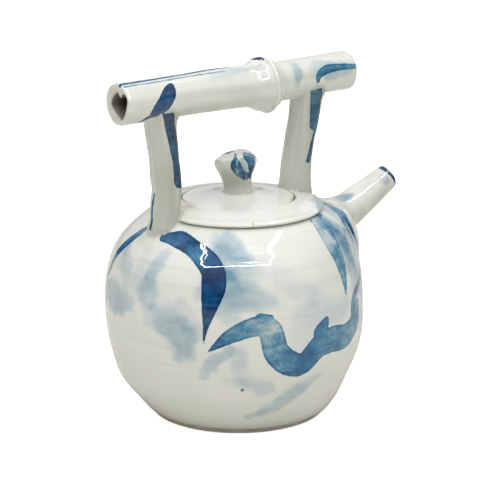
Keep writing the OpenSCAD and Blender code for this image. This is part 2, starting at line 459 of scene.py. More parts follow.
def spout_mound(az, z):
    """Clay smoothed from the spout's root over the shoulder."""
    turned = (np.degrees(az) + 180) % 360 - 180
    height, half_angle, middle_z, half_z = 10.0, 29.0, 101.0, 17.0
    return (height * np.exp(-(turned / half_angle) ** 4) * np.exp(-(np.abs(z - middle_z) / half_z) ** 3)
            * (1 - span(106, 113, z)))


def body_radius(az, z):
    return body_profile(z) + wobble(az, z) + spout_mound(az, z)


def chart_of(points):
    """Painting chart of points on the body: degrees from the front (to the right) and height."""
    az = np.degrees(np.arctan2(points[:, 1], points[:, 0]))
    return (az - FACE_DEG + 180) % 360 - 180, points[:, 2]


POST_FOOT = np.array([-48.2, 0.0])  # where the back post meets the shoulder

BODY_STROKES = [
    # the dark comma under the back post
    (0.87, [(-46, 107, 2), (-36, 107, 3.5), (-25, 104, 4), (-15, 97, 6.5), (-13, 89, 7), (-14, 80, 5),
            (-16, 66, 1.5), (-17, 57, .3)]),
    # short band running off the left shoulder
    (0.70, [(-63, 109, 1.5), (-71, 103, 2.5), (-80, 93, 2.5), (-83, 80, 1.5)]),
    # the long ribbon: a rise, a fall, and a flatter wave that ends going up
    (0.60, [(-15, 53, .5, .74), (-5, 62, 4, .58), (6, 67, 5.5, .47), (12, 64, 6.5, .42), (15, 52, 7, .62),
            (21, 45, 7, .70), (28, 43, 6.5, .68), (36, 51, 7, .60), (44, 53, 7.5, .56), (54, 52, 7, .58),
            (62, 58, 5.5, .64), (64, 66, 3, .60)]),
    # the two corners where the brush turned
    (0.47, [(8, 70, 4), (12, 71, 2)]),
    (0.58, [(37, 59, 5), (40, 65, 2)]),
    # streak down the right shoulder
    (0.40, [(65, 113, 5, .26), (57, 103, 6.5, .34), (55, 92, 4.5, .46), (54, 75, .7, .50)]),
    # brush lines round the spout's root and down the right side
    (0.66, [(112, 112, 1), (98, 106, 2), (91, 97, 2), (87, 85, 2), (72, 78, 2), (61, 71, 2.5), (59, 60, 2)]),
    (0.42, [(104, 112, 1), (88, 102, 1.5), (83, 89, 1)]),
    # single hairs of the brush in the pale field
    (0.30, [(82, 108, .5), (77, 88, .5), (74, 80, .3)]),
    (0.26, [(75, 106, .4), (69, 84, .4)]),
    (0.30, [(88, 109, .5), (80, 93, .4)]),
    # dark touch under the collar
    (0.68, [(56, 112, .5), (67, 113, 1.5), (75, 113, 1)]),
]
BODY_WASHES = [
    # softness, then (degrees, height, half width, strength) along each pass
    (0.9, [(-38, 100, 3, .10), (-44, 90, 4.5, .20), (-45, 84, 5.5, .16), (-44, 77, 6, .14)]),
    (0.8, [(-41, 68, 6, .08), (-36, 71, 7, .14), (-31, 64, 9, .25), (-28, 56, 8, .28), (-24, 49, 4, .14)]),
    (0.9, [(-28, 78, 5, .08), (-22, 62, 5, .12)]),
    (0.8, [(-80, 72, 8, .26), (-66, 70, 7, .24), (-54, 71, 4, .10)]),
    (0.9, [(-72, 96, 5, .16), (-60, 80, 5, .08)]),
    (0.8, [(-15, 109, 3, .10), (-5, 106, 6, .24), (3, 101, 4, .10)]),
    (1.0, [(-12, 98, 8, .30), (4, 94, 7, .13)]),
    (1.0, [(-13, 89, 8, .32), (-5, 86, 8, .28), (12, 79, 4, .10)]),
    (1.0, [(-12, 77, 5, .16), (-4, 74, 5, .12)]),
    (1.1, [(-52, 92, 7, .06), (-50, 82, 8, .08)]),
    (0.9, [(16, 92, 5, .05), (34, 80, 5, .07)]),
    (0.8, [(-6, 56, 3, .16), (-11, 48, 4, .20), (-17, 38, 3, .12)]),
    (0.9, [(-2, 52, 6, .14), (0, 38, 5, .10)]),
    (0.8, [(-8, 36, 3, .05), (10, 33, 5, .14)]),
    (0.8, [(38, 34, 3, .12), (22, 24, 5, .22), (5, 14, 3, .16)]),
    (0.9, [(30, 60, 9, .05), (33, 70, 8, .10), (52, 68, 6, .12)]),
    # pale field between the streak and the spout's lines
    (0.7, [(72, 110, 6, .26), (73, 96, 12, .30), (70, 76, 8, .22)]),
    (0.8, [(92, 108, 8, .20), (86, 90, 7, .18)]),
    (0.7, [(76, 70, 6, .34), (70, 50, 5, .14)]),
    (0.6, [(68, 109, 7, .30), (66, 94, 8, .26), (61, 77, 5, .16)]),
]
# the unseen back carries the same loose handling: a falling mark, a ribbon and pale clouds
BACK_STROKES = [
    (0.84, [(176, 104, 1.0), (168, 106, 3.0), (158, 102, 4.6), (152, 94, 6.4), (152, 84, 5.2), (155, 74, 2.8),
            (156, 62, .5)]),
    (0.58, [(-104, 66, .8), (-112, 58, 3.8), (-122, 52, 5.2), (-133, 56, 6.2), (-143, 64, 6.6), (-154, 60, 6.8),
            (-164, 50, 6.4), (-175, 48, 5.4), (-184, 56, 3.4), (-190, 62, .6)]),
    (0.50, [(-128, 110, 2.4), (-131, 102, 4.0), (-130, 92, 3.6), (-128, 82, 1.2)]),
]
BACK_WASHES = [
    (0.9, [(-200, 80, 8, .16), (-192, 70, 10, .24), (-186, 60, 8, .20)]),
    (0.9, [(-164, 96, 6, .14), (-152, 90, 8, .20), (-142, 80, 6, .14)]),
    (0.8, [(-150, 38, 4, .16), (-140, 32, 5, .22), (-130, 24, 4, .18)]),
    (0.9, [(-240, 66, 7, .12), (-232, 58, 8, .18), (-222, 50, 6, .12)]),
]


def to_chart(strokes):
    """Strokes or washes given in degrees round the body, in chart millimetres."""
    return [(tone, [(row[0] * MM_PER_DEG, *row[1:]) for row in rows]) for tone, rows in strokes]


def body_paint(points):
    """Brushwork attributes for points on or near the body."""
    degrees, z = chart_of(points)
    shift = LEAN_DEG * lean_fade(z)
    front = np.maximum(np.cos(np.radians(np.clip(degrees, -90, 90))), 0.35)
    degrees = degrees - shift / front * (1 - span(90, 150, np.abs(degrees)))
    u = degrees * MM_PER_DEG
    front_side = paint(u, z, to_chart(BODY_STROKES), to_chart(BODY_WASHES), 11)
    u_back = np.where(degrees > 60, degrees - 360, degrees) * MM_PER_DEG
    back_strokes = [(tone, [(row[0] if row[0] < 60 else row[0] - 360, *row[1:]) for row in rows])
                    for tone, rows in BACK_STROKES]
    back = paint(u_back, z, to_chart(back_strokes), to_chart(BACK_WASHES), 23)
    overlay(front_side, back)
    speck = np.zeros(len(u))
    for spot_deg, spot_z, size in ((0, 31, 1.1), (-56, 75, 0.45), (-36, 86, 0.4), (66, 86, 0.4)):
        speck = np.maximum(speck, 1 - np.hypot(u - spot_deg * MM_PER_DEG, z - spot_z) / (2 * size))
    front_side["speck"] = np.clip(speck, 0, 1)
    return front_side


def distance_to_post(points):
    return np.hypot(points[..., 0] - POST_FOOT[0], points[..., 1] - POST_FOOT[1])


def build_body():
    cols = 480
    under, floor_z, wall, hole = 3.6, 8.1, 4.5, 8.0    # underside, inner floor, wall, radius of the closing fans
    low = np.linspace(under, 14, 14)
    mid = np.linspace(14, 96, 84)[1:]
    top = np.linspace(96, CREASE_Z + 0.4, 30)[1:]
    z = np.concatenate([low, mid, top])
    az = circle(cols)
    ring = np.stack([np.cos(az), np.sin(az)], -1)

    def loop(r, zi, centre=(0.0, 0.0)):
        return np.column_stack([ring * r + centre, np.full(cols, zi)])

    outer = np.array([loop(body_radius(az, zi)[:, None], zi, body_shift(np.array(zi))[:2]) for zi in z])
    # a pad of clay where the back post stands
    pad = 2.6 * (1 - span(6, 15, distance_to_post(outer))) * span(92, 104, outer[..., 2])
    outer[..., 2] += pad * 0.5
    outer[..., 0] -= pad * 0.5
    down = np.linspace(110, floor_z, 26)
    inner_z = np.concatenate([[CREASE_Z + 0.4], down])
    inner_r = np.concatenate([[40.0], body_profile(down, wall)])
    inner = [loop(ri, zi, body_shift(np.array(zi))[:2]) for zi, ri in zip(inner_z, inner_r)]
    inner.append(loop(hole, floor_z))
    base = [loop(hole, under), loop(46.0, under)]
    grid = np.vstack([np.array(base), outer, np.array(inner)])
    verts = grid.reshape(-1, 3)
    attrs = body_paint(verts)
    hidden = np.ones(len(verts), bool)
    hidden[2 * cols:(2 + len(z)) * cols] = False
    leave_bare(attrs, hidden)
    attrs["speck"][hidden] = 0
    zz = verts[:, 2]
    # glaze pooling with painted shade: darker in the crease under the collar and round the back post's foot; painted
    # shade darkens the bottom towards the foot
    at_post = 0.75 * bump(distance_to_post(verts), 8.6, 1.3) * span(99, 104, zz)
    pool_and_shade = np.maximum(bump(zz, CREASE_Z + 0.3, 1.3) * 0.8, at_post)
    pool_and_shade = np.maximum(pool_and_shade, 0.30 * (1 - span(4, 9, zz)))
    attrs["pool_and_shade"] = np.where(hidden, 0, pool_and_shade)
    make_piece("body_shell", grid, False, "pot", THROWN, "pot_body", attrs)


# ---------------------------------------------------------------- lathe pieces
def lathe(name, outline, cols, body, look, node, attrs_of=None, uneven=0.0, seed=3, density=4):
    """Closed solid of revolution from a closed (r, z) outline, slightly uneven."""
    pts = np.array(outline, float)
    loop = []
    for i in range(len(pts)):
        a, b = pts[i], pts[(i + 1) % len(pts)]
        n = max(1, int(np.hypot(*(b - a)) / density))
        loop += [a + (b - a) * k / n for k in range(n)]
    loop = np.array(loop)
    az = circle(cols)
    wave = uneven * (np.cos(2 * az + seed) + 0.6 * np.cos(3 * az - seed) + 0.4 * np.cos(5 * az + 2 * seed))
    grid = np.array([np.column_stack([(r + wave) * np.cos(az), (r + wave) * np.sin(az),
                                      np.full(cols, z) + 0.4 * wave]) for r, z in loop])
    make_piece(name, grid, True, body, look, node, attrs_of(grid.reshape(-1, 3)) if attrs_of else {})


def rounded(points, radius, steps):
    """Outline with its corners rounded by quadratic arcs."""
    pts = np.array(points, float)
    out = []
    for i in range(len(pts)):
        a, b, c = pts[i - 1], pts[i], pts[(i + 1) % len(pts)]
        ra = min(radius, 0.45 * np.hypot(*(a - b)), 0.45 * np.hypot(*(c - b)))
        p = b + (a - b) / np.hypot(*(a - b)) * ra
        q = b + (c - b) / np.hypot(*(c - b)) * ra
        for k in range(steps + 1):
            s = k / steps
            out.append((1 - s) ** 2 * p + 2 * s * (1 - s) * b + s * s * q)
    return out


def collar_attrs(points):
    radius = np.hypot(points[:, 0], points[:, 1])
    degrees, z = chart_of(points)
    scale = 0.75                     # chart millimetres per degree round the collar
    wash = [(70, 45.5, 2.4, .26), (82, 44.0, 3.4, .34), (94, 43.6, 3.4, .30), (106, 45, 2.4, .20)]
    attrs = paint(degrees * scale, radius, [], [(0.7, [(a * scale, *rest) for a, *rest in wash])], 5)
    leave_bare(attrs, z < CREASE_Z)
    # glaze pooling with painted shade: darker in the crease under the rim and round the feet of the posts
    attrs["pool_and_shade"] = np.maximum(0.9 * bump(z, CREASE_Z - 0.1, 0.8) * span(41, 43, radius),
                               0.14 * bump(radius, 43.5, 1.2))
    for post_x, post_r in ((-48.2, 9.2), (38.6, 9.4)):
        near = np.abs(np.hypot(points[:, 0] - post_x, points[:, 1]) - post_r)
        attrs["pool_and_shade"] = np.maximum(attrs["pool_and_shade"], 0.6 * bump(near, 0, 1.0))
    # tea stain along the far side of the gap round the lid, a patch at the left and two spots; painted shade in the
    # dark hook where the gap turns at the right
    far = span(40, 95, np.abs(degrees))
    gap = bump(radius, 30.6, 0.7)
    hook = bump(degrees, 80, 11) * bump(radius, 30.7, 0.9)
    left = bump(degrees, -56, 13) * bump(radius, 33, 3.2)
    spot = bump(degrees, -39, 3.5) * bump(z, CREASE_Z, 1.2) + bump(degrees, 10, 0.7) * bump(radius, 45.2, 0.7)
    attrs["stain_and_shade"] = np.clip(gap * far * 0.22 + hook * 0.9 + left * 0.40 + spot * 0.8, 0, 1)
    return attrs


def build_collar():
    outline = [(26.4, 111.3), (34.5, 111.3), (38.0, 113.6), (43.6, 113.5), (44.6, 113.45), (45.6, 113.8),
               (46.1, 114.5), (45.9, 115.2), (45.0, 115.95), (43.4, 116.55), (41.6, 116.95), (40.2, 117.2),
               (38.0, 117.85), (35.0, 118.6), (32.4, 119.2), (31.2, 119.4), (30.8, 119.2), (30.7, 118.6),
               (30.7, 115.3), (30.4, 115.0), (26.4, 115.0), (26.0, 114.6), (26.0, 111.7)]
    lathe("mouth_collar", rounded(outline, 0.5, 3), 300, "pot", THROWN, "lid_collar", collar_attrs,
          uneven=0.12, seed=2, density=1.2)


def lid_attrs(points):
    radius = np.hypot(points[:, 0], points[:, 1])
    degrees, z = chart_of(points)
    across, toward_front = points @ RIGHT, points @ FRONT
    # a faint glaze pool over an oval in the middle of the lid, and a ring of painted shadow round the knob's foot
    oval = np.hypot(across / 24.0, (toward_front - 1) / 19.0)
    pool_and_shade = 0.05 * (1 - span(0.92, 1.08, oval)) + 0.12 * bump(radius, 9.0, 1.0)
    # tea stain along the far edge of the lid and a patch at the left; painted shade where the gap hooks round at the
    # right
    far = span(40, 95, np.abs(degrees))
    stain_and_shade = (bump(radius, 30.2, 0.7) * (far * 0.30 + bump(degrees, 80, 11) * 0.8)
             + 0.22 * bump(degrees, -60, 12) * bump(radius, 29, 2.5))
    speck = 1 - np.hypot(across - 17.6, toward_front - 3.0) / 1.1
    return {"ink_edge": np.full(len(points), NO_INK), "pool_and_shade": pool_and_shade,
            "stain_and_shade": np.clip(stain_and_shade, 0, 1), "speck": np.clip(speck, 0, 1)}


def build_lid():
    outline = [(0.6, 115.3), (29.6, 115.3), (30.3, 115.9), (30.35, 118.6), (30.2, 119.05), (29.8, 119.2),
               (28.0, 119.3), (25.6, 119.45), (24.4, 119.6), (22.5, 119.65), (20.0, 119.9), (17, 120.4),
               (13, 121.2), (10.5, 121.75), (9.0, 121.95), (0.6, 122.0)]
    lathe("lid_disc", rounded(outline, 0.4, 3), 240, "lid", THROWN, "lid_plate", lid_attrs,
          uneven=0.05, seed=5, density=1.0)
    flange = [(21.6, 106.8), (22.1, 106.3), (24.4, 106.3), (25.2, 107.1), (25.2, 115.2), (20.8, 115.2), (21.6, 112.3)]
    lathe("lid_locating_ring", rounded(flange, 0.25, 3), 144, "lid", CLAY, "lid_flange",
          uneven=0.04, seed=7, density=1.2)


def build_foot():
    outline = [(0.8, 0.0), (45.8, 0.0), (46.9, 0.5), (47.1, 1.0), (46.5, 1.45), (46.5, 1.6), (47.1, 1.95),
               (47.0, 2.3), (46.5, 2.6), (46.6, 2.8), (47.3, 3.2), (47.6, 3.75), (0.8, 3.75)]
    lathe("turned_foot_disc", rounded(outline, 0.12, 2), 240, "pot", CLAY, "turned_foot",
          uneven=0.05, seed=4, density=1.5)


# ---------------------------------------------------------------- tubes along a path
def tube_grid(path, section):
    """Rings along a path in the plane y = 0; section(i) gives each ring's local (side, across) offsets."""
    path = np.asarray(path, float)
    rings = []
    for i in range(len(path)):
        a, b = path[max(i - 1, 0)], path[min(i + 1, len(path) - 1)]
        d = (b - a) / np.linalg.norm(b - a)
        n1 = np.array([-d[2], 0, d[0]])          # in the plane, square to the path
        n2 = np.array([0.0, 1.0, 0.0])
        s = section(i)
        rings.append(path[i] + s[:, :1] * n1 + s[:, 1:2] * n2)
    return np.array(rings)


def round_tube(strokes, radius):
    """Strokes given as (length, degrees round the tube, half width), in chart millimetres."""
    return [(tone, [(a, math.radians(b) * radius, width) for a, b, width in rows]) for tone, rows in strokes]


def build_post(name, node, path, radius, strokes, foot_z, seed, web_side):
    """Post of squeezed clay: a flattish, ridged rod with a flared foot and head."""
    cols = 96
    phi = circle(cols)   # 0 towards -X, 90 degrees towards -Y
    line = spline(path, 14)
    z = line[:, 2]
    facing = np.radians(58)

    def section(i):
        t = (z[i] - foot_z) / (172 - foot_z)
        r = radius + 1.5 * math.exp(-max(z[i] - foot_z, 0) / 3.2) + 1.6 * math.exp(-max(171 - z[i], 0) / 3.0)
        facets = 0.75 * np.cos(4 * (phi - facing + 0.25)) + 0.40 * np.cos(3 * phi + seed + 2 * t)
        ridge = 0.85 * np.exp(-((phi - facing + 0.12 * math.sin(4 * t + seed)) / 0.15) ** 2)
        lumps = 0.35 * value_noise(phi * 1.6 + seed, np.full(cols, z[i] * 0.13), seed)
        web = web_side * 2.6 * math.exp(-max(169.5 - z[i], 0) / 3.6) * np.maximum(-np.cos(phi), 0) ** 2
        rr = r - 0.25 + facets * 0.7 + ridge + lumps + web
        return np.column_stack([rr * np.cos(phi), -rr * np.sin(phi)])

    grid = tube_grid(line, section)
    v = np.tile(np.degrees(phi), len(line)) * math.pi / 180 * radius
    v = np.where(v > 250 * math.pi / 180 * radius, v - 2 * math.pi * radius, v)
    height = np.repeat(z, cols)
    attrs = paint(height, v, round_tube(strokes, radius), [], seed)
    # painted shade: each post darker on one side, with random streaks, and darker in the joints at its foot and head
    turn = np.tile(phi, len(line))
    streaks = value_noise(turn * 2.2 + seed, height * 0.03, seed + 6)
    shade = 0.60 + 0.26 * streaks + 0.26 * np.cos(turn - math.radians(130 if seed == 4 else 160))
    joints = np.maximum(0.75 * bump(height, foot_z, 1.6), 0.45 * bump(height, 171.5, 2.2))
    attrs["pool_and_shade"] = np.maximum(joints, np.clip(shade, 0.10, 0.95))
    make_piece(name, grid, False, "pot", BUILT, node, attrs)


def build_posts():
    back = [(-47.5, 0, 104), (-48, 0, 117), (-47, 0, 130), (-48.5, 0, 148), (-51, 0, 166), (-52, 0, 176)]
    back_strokes = [
        (0.86, [(177, 84, 3), (160, 107, 3.5), (146, 123, 4.5), (136, 121, 4.5)]),
        (0.70, [(129, -6, .5), (121, -14, .9), (110, -10, .8)]),
    ]
    build_post("back_post_rod", "back_post", back, 7.9, back_strokes, 110.5, 1, 1.0)
    front = [(37, 0, 104), (38.5, 0, 118), (39, 0, 131), (41.5, 0, 146), (45, 0, 163), (46.5, 0, 176)]
    front_strokes = [
        (0.56, [(177, 86, 3.5), (155, 112, 3.5)]),
        (0.80, [(151, 124, 1.2), (143, 122, 2), (135, 110, 1.6)]),
        (0.56, [(158, 128, 1.4), (150, 128, 1.2)]),
    ]
    build_post("front_post_rod", "front_post", front, 8.1, front_strokes, 117.0, 4, 0.0)


# ---------------------------------------------------------------- bar
BAR_Z = 180.0
BAR_X0, BAR_X1 = -77.5, 73.5


def bar_sag(x):
    return -0.8 * bump(x, 14, 30)


def bar_radius(x, down):
    """Radius of the bar; down is 1 underneath and -1 on top."""
    t = (x - BAR_X0) / (BAR_X1 - BAR_X0)
    swell = 3.0 * bump(x, 15, 7) * (1 + 0.28 * np.maximum(down, 0))
    hang = 0.9 * bump(x, 10, 26) * np.maximum(down, 0)
    crown = 0.7 * bump(x, -14, 34) * np.maximum(-down, 0)
    return 11.3 - 0.7 * t - 0.35 * np.sin(math.pi * t) + swell + hang + crown - 0.45 * bump(x, 24.5, 3.0)


def bar_loop(x, r, ang, middle=(0.0, 0.0)):
    """Loop round the bar's axis, with its angle 0 on top and 90 degrees towards -Y."""
    return np.column_stack([np.full(len(ang), x), middle[0] - r * np.sin(ang),
                            middle[1] + r * np.cos(ang) + BAR_Z + bar_sag(x)])


HEART = [(6, -1), (4.5, 3), (1, 6), (-1, 5.5), (-2.5, 4), (-4.5, 6), (-6.5, 6), (-8.5, 4), (-8, 0.5), (-6, -4.5),
         (-3.5, -7.5), (-1, -6.5), (3, -4)]
HEART_MIDDLE = np.array([-1.5, -0.4])


def build_bar():
    cols = 192
    ang = circle(cols)     # 0 on top, 90 degrees towards -Y
    xs = np.concatenate([np.linspace(BAR_X0 + 1.2, 2, 110), np.linspace(2, 32, 52)[1:],
                         np.linspace(32, BAR_X1 - 1.2, 60)[1:]])
    down = -np.cos(ang)

    def uneven(x):
        return (0.24 * value_noise(ang * 1.3 + 3, np.full(cols, x * 0.055 + 5), 9) + 0.10 * np.cos(3 * ang + x * 0.05)
                + 0.16 * np.cos(9 * ang + 0.8) * bump(x, -20, 50))

    rows = [bar_loop(x, bar_radius(x, down) + uneven(x), ang) for x in xs]
    end = ((0.25, 0.9), (0.7, 1.12), (1.4, 1.2))           # inset and set-back of each ring of the rounded rim
    right = [bar_loop(xs[-1] + back, bar_radius(xs[-1], down) + uneven(xs[-1]) - inset, ang) for inset, back in end]
    left = [bar_loop(xs[0] - back, bar_radius(xs[0], down) + uneven(xs[0]) - inset, ang) for inset, back in end]
    a_deg = np.degrees(ang)
    outline = spline(HEART + HEART[:3], 12)[12:12 * (len(HEART) + 1)] - HEART_MIDDLE
    turn = np.degrees(np.arctan2(-outline[:, 0], outline[:, 1])) % 360
    order = np.argsort(turn)
    heart = np.interp(a_deg, turn[order], np.hypot(*outline.T)[order], period=360)

    def heart_ring(x, grow):
        return bar_loop(x, heart + grow, ang, HEART_MIDDLE)

    mouth_r = [heart_ring(xs[-1] + 1.2, 0.55), heart_ring(xs[-1] + 1.05, 0.2), heart_ring(xs[-1] + 0.6, 0.0)]
    mouth_l = [heart_ring(xs[0] - 0.6, 0.0), heart_ring(xs[0] - 1.05, 0.2), heart_ring(xs[0] - 1.2, 0.55)]
    inside = [heart_ring(x, -0.15) for x in np.linspace(xs[-1] - 3, xs[0] + 3, 30)]
    grid = np.array(left[::-1] + rows + right + mouth_r + inside + mouth_l)
    verts = grid.reshape(-1, 3)
    n_outer = len(left) + len(rows) + len(right)
    a_signed = np.where(a_deg > 215, a_deg - 360, a_deg)
    chart_r = 11.0                   # the bar's mean radius, for its painting chart
    v = np.tile(np.radians(a_signed) * chart_r, len(grid))
    strokes = [
        (0.68, [(-78, 12, 1.1), (-57, 9, 1), (-36, 5, 1), (-15, 1, 1), (6, -4, .5)]),
        (0.34, [(-76, 25, .8), (-55, 24, .8), (-33, 22, .8), (-12, 20, .6)]),
        (0.84, [(-49, 44, 1.5), (-51, 60, 3.5), (-54, 82, 4.5), (-58, 104, 4.5), (-61, 118, 3)]),
        (0.80, [(-60, 116, 2.5), (-65, 134, 1.3), (-71, 158, .3)]),
        (0.62, [(46, 96, 1.2), (47, 78, 2), (53, 65, 2.5), (62, 65, 2), (73, 70, 1.5)]),
    ]
    washes = [
        (0.8, [(34, 6, 3, .14), (33, 12, 4, .26), (32, 17, 3, .16)]),
        (0.9, [(-20, 6, 3, .06), (-6, 5, 3, .12), (8, 5, 3, .10)]),
        (0.8, [(46, 12, 5, .16), (56, 14, 5, .20), (68, 15, 4, .16)]),
    ]
    attrs = paint(verts[:, 0], v, round_tube(strokes, chart_r), washes, 31)
    inner = np.zeros(len(verts), bool)
    inner[(n_outer + 3) * cols:] = True
    leave_bare(attrs, inner)
    # painted shade: a faint grey cloud that darkens the whole bar, stronger inside the passage
    grey = 0.16 + 0.16 * value_noise(v * 0.22, verts[:, 0] * 0.03 + 4, 12)
    attrs["pool_and_shade"] = np.maximum(0.0, np.where(inner, 0.4, grey))
    # painted shade under the bar where the posts join it
    for post_x in (-52.0, 47.0):
        weld = bump(np.hypot(verts[:, 0] - post_x, verts[:, 1]), 9.6, 1.3)
        attrs["pool_and_shade"] = np.maximum(attrs["pool_and_shade"], 0.55 * weld * (verts[:, 2] < BAR_Z - 3) * ~inner)
    deep = np.minimum(verts[:, 0] - BAR_X0, BAR_X1 - verts[:, 0])
    # brown stain and painted shade inside the passage
    attrs["stain_and_shade"] = np.where(inner, 0.2, 0.0)
    passage = np.zeros(len(verts), bool)
    passage[(n_outer + 2) * cols:(len(grid) - 2) * cols] = True
    # painted shade: the passage darkens to near black the further it goes in
    attrs["deep"] = np.where(passage, 0.66 + 0.34 * span(1, 9, deep), 0.0)
    # painted shade in the groove beside the joint ring
    attrs["pool_and_shade"] = np.maximum(attrs["pool_and_shade"], 0.30 * bump(verts[:, 0], 24.6, 1.1) * ~inner)
    make_piece("handle_bar_tube", grid, True, "pot", BUILT, "handle_bar", attrs)


def build_node_ring():
    """Raised double ring of the bamboo joint, following the bar."""
    cols = 144
    ang = circle(cols)
    down = -np.cos(ang)
    profile = [(16.0, -1.0), (16.3, 0.05), (17.0, 0.75), (17.9, 1.15), (18.8, 0.95), (19.6, 0.42), (20.2, 0.45),
               (20.9, 0.85), (21.6, 0.85), (22.3, 0.45), (22.9, 0.05), (23.1, -1.0)]
    sway = 0.35 * np.cos(ang + 0.8) + 0.25 * np.cos(3 * ang)
    rings = []
    for x, lift in profile:                # place along the bar and height over its surface
        rings.append(bar_loop(x, bar_radius(x + sway, down) + lift * (1 + 0.25 * np.cos(2 * ang + 1.0)), ang))
        rings[-1][:, 0] += sway
    grid = np.array(rings + [bar_loop(x, 9.0, ang) for x in (22.5, 16.6)])
    # glaze pooling with painted shade in the grooves between and beside the rings
    pool_and_shade = np.repeat([0.5, .35, 0, 0, 0.1, 0.4, 0.35, 0, 0, .2, .45, .5, 0, 0], cols)
    make_piece("bamboo_joint_ring", grid, True, "pot", BUILT, "bamboo_node",
               {"ink_edge": np.full(len(pool_and_shade), NO_INK), "pool_and_shade": pool_and_shade})


def build_bud():
    """Trimmed twig on top of the bar, its tip dabbed blue."""
    cols = 48
    ang = circle(cols)
    profile = [(6.3, -4), (6.2, -2), (5.8, -0.2), (5.3, 1.2), (5.0, 2.6), (4.5, 3.9), (3.7, 5.0), (2.5, 5.8),
               (1.2, 6.2), (0.4, 6.3)]
    tilt = math.radians(-20)
    grid = []
    for r, h in profile:
        rr = r * (1 + 0.07 * np.cos(3 * ang + 0.4) + 0.05 * np.cos(2 * ang))
        x, y, z = rr * np.cos(ang) * 1.1, rr * np.sin(ang), np.full(cols, h)
        grid.append(np.column_stack([12.6 + x * math.cos(tilt) + z * math.sin(tilt), y,
                                     BAR_Z + 8.6 + bar_sag(12.0) - x * math.sin(tilt) + z * math.cos(tilt)]))
    grid = np.array(grid)
    verts = grid.reshape(-1, 3)
    dab = (0.92, [(7.5, 3.0, 1.6), (11, 0.5, 2.4), (15, -2.5, 2.0), (17, -5, 1.0)])
    attrs = paint(verts[:, 0], verts[:, 1], [dab], [], 3)
    leave_bare(attrs, verts[:, 2] < BAR_Z + 12.6)
    make_piece("twig_stub", grid, False, "pot", BUILT, "twig_bud", attrs)


# ---------------------------------------------------------------- spout
SPOUT_ANGLE = math.radians(27.3)
SPOUT_TIP = np.array([105.1, 0.0, 114.9])
SPOUT_LEN = 118.6


